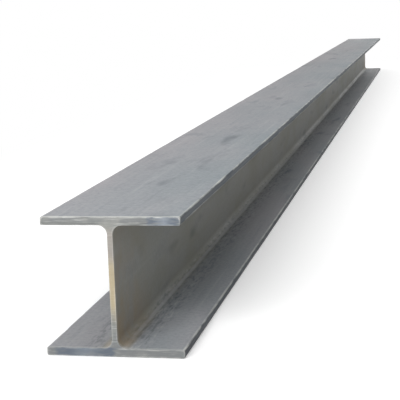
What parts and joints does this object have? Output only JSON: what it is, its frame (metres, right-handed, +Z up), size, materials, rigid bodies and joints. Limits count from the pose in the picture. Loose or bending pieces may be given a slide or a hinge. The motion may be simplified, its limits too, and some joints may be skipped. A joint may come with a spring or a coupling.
{
  "type": "steel h-beam",
  "caption": "Hot-rolled wide-flange steel H-beam with parallel flanges, filleted roots and square sawn ends, lying on one flange; stock for columns, beams and frames.",
  "frame": {"origin": "middle of the lower flange's outer face, halfway along the length, on the surface that the beam lies on", "axes": "+X across the flanges, +Y along the rolled length away from the sawn end that the picture shows, +Z up the web to the upper flange"},
  "size_m": [0.2, 6, 0.2],
  "materials": {
    "mill_scale_steel": "matte"
  },
  "bodies": {
    "root": {"h_beam": "mill_scale_steel"}
  },
  "joints": []
}
